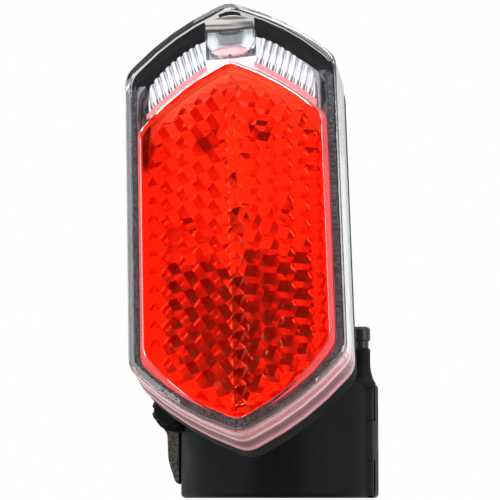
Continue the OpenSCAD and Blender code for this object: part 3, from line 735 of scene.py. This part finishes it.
FINISHES: dict[str, Plastic | Clear] = {
    # Glass-filled nylon: near black, with a fine grain that breaks up the highlights.
    "clamp_black": Plastic(
        "moulded nylon, black", "#06070a", "#0d0e13",
        (0.5, 0.68), 0.35, 0.02, shine=0.12,
    ),
    # Pressed rubber: dull grey with darker pits, no highlight.
    "liner_rubber": Plastic(
        "pressed rubber, grey", "#2c2927", "#6a625b",
        (0.7, 0.9), 0.35, 0.05, sharp=0.3,
    ),
    # Blackened steel: dark brown-grey with a soft metal glint along the turned rings.
    "pin_black": Plastic(
        "blackened steel, turned", "#232220", "#3a3936",
        (0.35, 0.5), 0.3, 0.01, metal=0.6,
    ),
    # Zinc plate: bright, slightly cloudy silver.
    "screw_steel": Plastic(
        "zinc plated steel", "#8a8c90", "#b4b6ba",
        (0.2, 0.35), 0.4, 0.004, metal=1.0,
    ),
    # The same nylon, a little smoother where fingers turn it.
    "knob_black": Plastic(
        "moulded nylon knob, black", "#08080a", "#121214",
        (0.5, 0.65), 0.3, 0.02, shine=0.12,
    ),
    # Natural nylon: warm off-white, half dull.
    "washer_nylon": Plastic("turned nylon, natural", "#c4c3ba", "#dcdbd2", (0.4, 0.6), 0.6, 0.01),
    # Textured shell: deepest black, almost no reflection at its edges.
    "housing_black": Plastic(
        "moulded plastic shell, black", "#040405", "#0a0a0c",
        (0.45, 0.6), 0.4, 0.01, shine=0.03,
    ),
    # Polished acrylic: clear, with faint waves and bright edges.
    "clear_acrylic": Clear("moulded acrylic, clear", "#f4f6f8", (0.0, 0.05), 2.5, 0.02),
    # Red acrylic: glowing red; the low index lets one facet of each prism show what lies behind.
    "red_acrylic": Clear(
        "moulded acrylic, red", "#fb7650", (0.0, 0.05),
        1.8, 0.02, 0.1, "#f23422", "#ff8060", 1.34,
    ),
    # Foam strip: dark, with pale cut cells as speckles; its near-black also stands for the darkened edge of
    # the clear wall in front of it, as painted shade.
    "gasket_speckled": Plastic(
        "foam gasket, speckled grey", "#040406", "#56565a",
        (0.6, 0.8), 0.25, 0.04, sharp=0.42, shine=0.1,
    ),
    # Fluted acrylic: white and frosted, with painted shade as grey lines at the flutes' flanks.
    "guide_acrylic": Clear("fluted acrylic, clear", "#fafbfb", (0.02, 0.12), 1.2, 0.03, 0.2, "#f4f4f2"),
    # Lens acrylic: clear with a slight milk, and grey edges.
    "optic_acrylic": Clear(
        "moulded acrylic lens, clear", "#f6f7f7", (0.0, 0.06),
        1.6, 0.05, 0.1, "#ffffff",
    ),
    # Cream cap: layered lines drawn out across it, half dull.
    "cap_cream": Plastic(
        "moulded cap, cream", "#5a534c", "#bdb5ac",
        (0.45, 0.6), 0.8, 0.02, stretch=(0.1, 1.0, 1.3), sharp=0.3, shine=0.15,
    ),
    # Grey cup: cool mid grey under a thin gloss.
    "cup_grey": Plastic(
        "moulded cup, grey", "#646968", "#8c9190",
        (0.3, 0.4), 0.8, 0.02, coat=Coat.THIN,
    ),
    # Frosted sheet: pale, with faint upright streaks.
    "frost_white": Plastic(
        "frosted diffuser, white", "#cfd1d3", "#fbfbfb",
        (0.5, 0.6), 1.0, 0.02, stretch=(1.0, 1.0, 0.3), sharp=0.15,
    ),
    # Cut edge: a thin brown line.
    "line_brown": Plastic("edge line, brown", "#7c6262", "#96807e", (0.4, 0.5), 0.4, 0.01),
    # Moulded rim: dark warm grey.
    "ring_dark": Plastic("cup rim, dark", "#2c2628", "#443c3e", (0.3, 0.4), 0.5, 0.01),
    # Clear lens that carries the panel's red: pale pink with a full gloss.
    "lens_pink": Plastic(
        "lens lit by the red panel, pink", "#e8a2a6", "#f6c8c8",
        (0.1, 0.2), 0.9, 0.01, coat=Coat.FULL,
    ),
    # Frosted margin: even pink.
    "edge_pink": Plastic("frosted margin, pink", "#dc7478", "#e88c8e", (0.3, 0.4), 0.6, 0.01),
    # Lamp resin: salmon core under a full gloss.
    "lamp_resin": Plastic(
        "lamp resin, tinted", "#d86a60", "#f0a090",
        (0.1, 0.2), 0.5, 0.005, coat=Coat.FULL,
    ),
    # White moulding: bright, with a thin gloss.
    "tray_white": Plastic(
        "moulded plastic, white", "#e6e6e2", "#f6f6f4",
        (0.15, 0.3), 0.8, 0.01, coat=Coat.THIN,
    ),
    # Solder mask: greenish black, half glossy.
    "board_black": Plastic(
        "solder mask on glass fibre, black", "#101412", "#1e2420",
        (0.3, 0.45), 0.5, 0.01,
    ),
    # Switch body: dull dark grey.
    "switch_plastic": Plastic("moulded switch body, dark", "#2a2a2c", "#3e3e40", (0.4, 0.55), 0.4, 0.01),
    # Soft rubber: dull, a shade lighter than the shell.
    "button_rubber": Plastic("soft rubber, dark grey", "#2e2e30", "#444446", (0.6, 0.8), 0.4, 0.03),
    # Foam rubber: black and open, no highlight.
    "seal_rubber": Plastic("foam rubber seal, black", "#101011", "#222223", (0.7, 0.9), 0.3, 0.05),
    # Printed sleeve: blue with a metal sheen under it.
    "battery_sleeve": Plastic(
        "printed sleeve on steel, blue", "#27506c", "#3a6f92",
        (0.25, 0.4), 1.0, 0.004, metal=0.4,
    ),
    # Nickel plate: warm bright silver.
    "contact_nickel": Plastic(
        "nickel plated spring steel", "#a8a8aa", "#cccccf",
        (0.15, 0.3), 0.5, 0.004, metal=1.0,
    ),
}


# Nodes whose look differs from their slot's.
OWN_FINISH = {"led_optic": "optic_acrylic"}
# The record's slot that each added finish belongs to.
SPECIAL = {
    "tray_white": make_tray,
    "red_acrylic": make_panel,
    "guide_acrylic": make_guide,
    "clear_acrylic": make_cover,
    "board_black": make_board,
}


@dataclass
class Dresser:
    """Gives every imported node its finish.

    Args:
        made: Materials made so far, by slot.
    """

    made: dict[str, bpy.types.Material] = field(default_factory=dict)

    def finish(self, slot: str) -> bpy.types.Material:
        """Returns the material of a slot, made once.

        Args:
            slot: Material slot name of the record.

        Returns:
            The material.
        """
        if slot not in self.made:
            kind = FINISHES[slot]
            if slot in SPECIAL:
                self.made[slot] = SPECIAL[slot](kind)
            else:
                self.made[slot] = make_plastic(kind) if isinstance(kind, Plastic) else make_clear(kind)
        return self.made[slot]

    def dress(self) -> None:
        """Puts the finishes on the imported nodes."""
        for part in frame["record"]["subparts"]:
            obj = frame["nodes"][part["node"]]
            obj.data.materials.clear()
            slot = OWN_FINISH.get(part["node"], part["material_slot"])
            obj.data.materials.append(self.finish(slot))
            LOG.info("finish %s on %s", slot, part["node"])


@dataclass
class Modeller:
    """Models added pieces in the light's own frame: X across, Y back from the front, Z up, in millimetres.

    Args:
        dresser: Gives the finishes.
    """

    dresser: Dresser

    def start(self) -> None:
        """Leaves nothing selected, so that the next operator acts on the new piece alone."""
        bpy.ops.object.select_all(action="DESELECT")

    def select(self, keep: Pick) -> None:
        """Selects the vertices of the piece in edit mode by their place.

        Args:
            keep: Function that takes a vertex's place and says whether it is selected.
        """
        bpy.ops.object.mode_set(mode="EDIT")
        bpy.ops.mesh.select_mode(type="VERT")
        bpy.ops.mesh.select_all(action="DESELECT")
        bpy.ops.object.mode_set(mode="OBJECT")
        for vertex in bpy.context.object.data.vertices:
            vertex.select = keep(vertex.co)
        bpy.ops.object.mode_set(mode="EDIT")

    def move(self, keep: Pick, offset: Point) -> None:
        """Moves some of the piece's vertices.

        Args:
            keep: Function that picks them by place.
            offset: The move.
        """
        self.select(keep)
        bpy.ops.transform.translate(value=offset)
        bpy.ops.object.mode_set(mode="OBJECT")

    def block(self, low: Point, high: Point) -> None:
        """Adds a block between two corners.

        Args:
            low: Lower corner.
            high: Upper corner.
        """
        self.start()
        centre = [(a + b) / 2 for a, b in zip(low, high)]
        size = [b - a for a, b in zip(low, high)]
        bpy.ops.mesh.primitive_cube_add(size=1.0, location=centre, scale=size)
        bpy.ops.object.transform_apply(location=True, rotation=True, scale=True)

    def stations(self, places: list[float]) -> None:
        """Cuts the piece across at several places, so that it can be bent along X.

        Args:
            places: Where to cut along X.
        """
        bpy.ops.object.mode_set(mode="EDIT")
        for x in places:
            bpy.ops.mesh.select_all(action="SELECT")
            bpy.ops.mesh.bisect(plane_co=(x, 0.0, 0.0), plane_no=(1.0, 0.0, 0.0))
        bpy.ops.object.mode_set(mode="OBJECT")

    def soften(self, width: float, segments: int = 3) -> None:
        """Rounds the piece's sharp edges.

        Args:
            width: Width of the rounding.
            segments: Number of its steps.
        """
        bevel = bpy.context.object.modifiers.new("rounding", "BEVEL")
        bevel.width, bevel.segments, bevel.limit_method = width, segments, "ANGLE"
        bpy.ops.object.modifier_apply(modifier=bevel.name)

    def finish(self, name: str, slot: str) -> bpy.types.Object:
        """Sets the piece into the light, dresses it and lets it ride with the light.

        Args:
            name: Name of the piece.
            slot: Its finish.

        Returns:
            The piece.
        """
        obj = bpy.context.object
        obj.name = obj.data.name = name
        into = Matrix.Translation(FRONT_CENTRE) @ Euler((-TILT, -ROLL, 0.0)).to_matrix().to_4x4()
        obj.matrix_world = into @ Matrix.Scale(MM, 4)
        bpy.ops.object.transform_apply(location=True, rotation=True, scale=True)
        bpy.ops.object.shade_smooth_by_angle(angle=math.radians(35))
        obj.data.materials.clear()
        obj.data.materials.append(self.dresser.finish(slot))
        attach(obj, "light")
        LOG.info("modelled %s in %s", name, slot)
        return obj


@dataclass
class LampWindow(Modeller):
    """The parts seen behind the clear window above the red panel, in millimetres.

    Args:
        dresser: Gives the finishes.
        front: Depth at which they start, just inside the clear block.
        half: Half of the cap's width.
        cap_low: Height of the cap's lower edge at its ends.
        cap_side: Height of its upper edge at its ends.
        cap_rise: How far its upper edge rises to the middle.
        cap_sag: How far its lower edge sags there.
        diffuser_half: Half of the diffuser's width.
        diffuser_z: Heights of its lower and upper edge.
        lens_z: Height that the cup and the lens are placed from.
        cup_r: Half width of the cup at its bottom and top.
        cup_h: Its height.
        rim_half: Half of its rim's width.
        lens_size: Half of the lens's width, depth and height.
        margin_x: Where the pink margins start and end beside the middle.
        margin_z: Heights of their edges above the panel.
    """

    front: float = 2.45
    half: float = 4.6
    cap_low: float = 38.55
    cap_side: float = 39.75
    cap_rise: float = 1.6
    cap_sag: float = 0.2
    diffuser_half: float = 4.4
    diffuser_z: tuple[float, float] = (33.4, 38.3)
    lens_z: float = 34.3
    cup_r: tuple[float, float] = (2.05, 2.75)
    cup_h: float = 2.6
    rim_half: float = 2.1
    lens_size: Point = (3.3, 0.45, 0.95)
    margin_x: tuple[float, float] = (4.6, 16.4)
    margin_z: tuple[float, float] = (1.95, 3.0)

    def depth(self, start: float, end: float) -> tuple[float, float]:
        """Returns the front and back of a piece, counted from the front of the clear block."""
        return (self.front + start, self.front + end)

    def bow(self, x: float) -> float:
        """Returns the cap's bow at a place across it, from 0 at its ends to 1 in its middle."""
        return 1.0 - (x / self.half) ** 2

    def strip(
        self, span: tuple[float, float], depth: tuple[float, float], low: Curve, high: Curve, steps: int = 8
    ) -> None:
        """Models a strip across the window whose lower and upper edges follow curves.

        Args:
            span: Where it starts and ends along X.
            depth: Its front and back along Y.
            low: Height of the lower edge by its place along X.
            high: Height of the upper edge by its place along X.
            steps: Number of straight pieces along it.
        """
        self.block((span[0], depth[0], 0.0), (span[1], depth[1], 1.0))
        places = [span[0] + (span[1] - span[0]) * i / steps for i in range(steps + 1)]
        self.stations(places[1:-1])
        for x in places:
            for level, edge in ((1.0, high), (0.0, low)):
                picked = lambda co: abs(co.x - x) < 0.01 and abs(co.z - level) < 0.001
                self.move(picked, (0.0, 0.0, edge(x) - level))

    def cap(self) -> None:
        """Models the cream cap over the lens."""
        self.strip(
            (-self.half, self.half),
            self.depth(0.0, 0.45),
            lambda x: self.cap_low - self.cap_sag * self.bow(x),
            lambda x: self.cap_side + self.cap_rise * self.bow(x),
        )
        self.soften(0.12)
        self.finish("optic_cap", "cap_cream")

    def cap_shade(self) -> None:
        """Models a dark strip under the cap as painted shade, thicker towards its ends."""
        line = lambda x: self.cap_low - 0.2 - self.cap_sag * self.bow(x)
        self.strip(
            (-self.half, self.half),
            self.depth(0.0, 0.4),
            lambda x: line(x) - 0.08 - 0.14 * abs(x) / self.half,
            line,
        )
        self.finish("optic_cap_shade", "ring_dark")

    def visor(self) -> None:
        """Models the black visor piece behind the cap, up to the V of the case."""
        slope = CASE_V.height / CASE_V.half_width
        self.strip(
            (-self.half, self.half),
            self.depth(0.6, 0.9),
            lambda x: self.cap_low - 0.15,
            lambda x: CASE_V.top - 2.5 - slope * abs(x),
        )
        self.finish("optic_visor", "housing_black")

    def diffuser(self) -> None:
        """Models the frosted white sheet that closes the clear block behind the cup and the lens."""
        bottom, top = self.diffuser_z
        self.strip(
            (-self.diffuser_half, self.diffuser_half),
            self.depth(1.3, 1.5),
            lambda x: bottom + 1.2 * max(0.0, abs(x) - 2.4),
            lambda x: top,
        )
        self.finish("optic_diffuser", "frost_white")

    def cup(self) -> None:
        """Models the small grey cup over the lamp and its dark sagging rim."""
        middle = self.lens_z + 2.35
        self.start()
        bpy.ops.mesh.primitive_cone_add(
            vertices=32,
            radius1=self.cup_r[0],
            radius2=self.cup_r[1],
            depth=self.cup_h,
            location=(0.0, self.front + 0.85, middle),
            scale=(1.0, 0.13, 1.0),
        )
        bpy.ops.object.transform_apply(location=True, rotation=True, scale=True)
        self.soften(0.1)
        self.finish("optic_cup", "cup_grey")
        sag = lambda x: middle + 0.55 + 0.4 * (x / self.rim_half) ** 2
        span = (-self.rim_half, self.rim_half)
        self.strip(span, self.depth(0.3, 0.48), sag, lambda x: sag(x) + 0.46)
        self.finish("optic_cup_rim", "ring_dark")

    def lens(self) -> None:
        """Models the low pink lens under the cup, its fine upper line and the lamp's dark chip."""
        self.start()
        bpy.ops.mesh.primitive_uv_sphere_add(
            segments=32,
            ring_count=16,
            location=(0.0, self.front + 0.6, self.lens_z - 0.6),
            scale=self.lens_size,
        )
        bpy.ops.object.transform_apply(location=True, rotation=True, scale=True)
        self.move(lambda co: abs(co.x) > 2.2, (0.0, 0.0, 0.1))
        self.finish("lamp_lens", "lens_pink")
        rise = lambda x: self.lens_z + 0.42 - 0.8 * (x / 3.2) ** 2
        self.strip((-3.2, 3.2), self.depth(0.05, 0.14), rise, lambda x: rise(x) + 0.14)
        self.finish("lamp_lens_line", "line_brown")
        front, back = self.depth(-0.02, 0.14)
        self.block((-0.28, front, self.lens_z - 1.8), (0.28, back, self.lens_z - 1.35))
        self.soften(0.07, 2)
        self.finish("lamp_chip", "ring_dark")

    def panel_edge(self, x: float) -> float:
        """Returns the height of the red panel's upper edge at a place across it."""
        share = abs(x) / PANEL_V.half_width
        return PANEL_V.top - PANEL_V.height * share + 4 * PANEL_V.bow * share * (1 - share)

    def margins(self) -> None:
        """Models the two frosted pink strips above the red panel's upper edges."""
        inner, outer = self.margin_x
        low, high = self.margin_z
        for name, span in (("left", (-outer, -inner)), ("right", (inner, outer))):
            self.strip(
                span,
                self.depth(-0.22, -0.1),
                lambda x: self.panel_edge(x) + low,
                lambda x: self.panel_edge(x) + high,
            )
            self.finish("panel_margin_" + name, "edge_pink")

    def build(self) -> None:
        """Models every part of the window."""
        self.cap()
        self.cap_shade()
        self.visor()
        self.diffuser()
        self.cup()
        self.lens()
        self.margins()


@dataclass(frozen=True)
class Lamp:
    """One area light.

    Args:
        name: Its name.
        at: Place in metres.
        size: Width and height in metres.
        power: Watts.
    """

    name: str
    at: tuple[float, float, float]
    size: tuple[float, float]
    power: float


LAMPS = (
    Lamp("softbox_left", (-0.7, -0.6, 0.35), (0.5, 0.9), 7.5),
    Lamp("softbox_right", (0.75, -0.45, 0.3), (0.4, 0.9), 6.0),
    Lamp("softbox_top", (0.0, -0.2, 0.8), (0.8, 0.6), 6.5),
)


@dataclass
class Studio:
    """Backdrop, lights and camera.

    Args:
        target: Place that the lamps are turned to, in metres.
        room: Brightness of the room behind the camera and of the one ahead of it.
        distance: The camera's distance from the upright axis, in metres.
        height: Its height, in metres.
        around: Its turn to the right of the front, in degrees.
        yaw: How far it looks to the left, in degrees.
        pitch: How far it looks up, in degrees.
        lens: Its focal length, in millimetres.
    """

    target: Point = (0.0, -0.03, 0.03)
    room: tuple[float, float] = (0.22, 1.0)
    distance: float = 0.620
    height: float = -0.0115
    around: float = 8.0
    yaw: float = 8.56
    pitch: float = 4.65
    lens: float = 219.6

    def world(self) -> None:
        """Makes the surroundings: a white backdrop, and a dim room behind the camera."""
        world = bpy.data.worlds.new("white room")
        bpy.context.scene.world = world
        world.use_nodes = True
        tree = world.node_tree
        tree.nodes.clear()
        out = add(tree, "OutputWorld")
        seen = add(tree, "Background", {"Color": (1, 1, 1, 1), "Strength": 1.0})
        toward = split(tree, add(tree, "TexCoord").outputs["Generated"])
        lit = add(
            tree,
            "MapRange",
            {
                "Value": toward["Y"],
                "From Min": -0.5,
                "From Max": 0.3,
                "To Min": self.room[0],
                "To Max": self.room[1],
            },
        )
        room = add(tree, "Background", {"Color": (1, 1, 1, 1), "Strength": lit.outputs["Result"]})
        path = add(tree, "LightPath")
        mixed = blend_shader(
            tree, path.outputs["Is Camera Ray"], room.outputs["Background"], seen.outputs["Background"]
        )
        tree.links.new(mixed, out.inputs["Surface"])

    def lamps(self) -> None:
        """Places the area lights, turned to the object."""
        for lamp in LAMPS:
            data = bpy.data.lights.new(lamp.name, "AREA")
            data.shape = "RECTANGLE"
            data.size, data.size_y = lamp.size
            data.energy = lamp.power
            obj = bpy.data.objects.new(lamp.name, data)
            bpy.context.collection.objects.link(obj)
            obj.location = lamp.at
            obj.rotation_euler = (Vector(self.target) - obj.location).to_track_quat("-Z", "Y").to_euler()

    def camera(self) -> None:
        """Places the camera as the photo shows the light: from low in front, a little to its right."""
        around, yaw, pitch = (math.radians(angle) for angle in (self.around, self.yaw, self.pitch))
        data = bpy.data.cameras.new("view")
        data.lens, data.sensor_width = self.lens, 36.0
        data.clip_start, data.clip_end = 0.05, 10.0
        obj = bpy.data.objects.new("view", data)
        bpy.context.collection.objects.link(obj)
        obj.location = (
            self.distance * math.sin(around),
            -self.distance * math.cos(around),
            self.height,
        )
        ahead = Vector((-math.sin(yaw) * math.cos(pitch), math.cos(yaw) * math.cos(pitch), math.sin(pitch)))
        obj.rotation_euler = ahead.to_track_quat("-Z", "Y").to_euler()
        bpy.context.scene.camera = obj

    def build(self) -> None:
        """Sets up everything around the object."""
        self.world()
        self.lamps()
        self.camera()
        bpy.context.scene.view_settings.view_transform = "Standard"


def main() -> None:
    """Dresses the light and sets up its picture."""
    logging.basicConfig(level=logging.INFO, format="%(name)s: %(message)s")
    dresser = Dresser()
    dresser.dress()
    LampWindow(dresser).build()
    Studio().build()


if __name__ == "__main__":
    main()
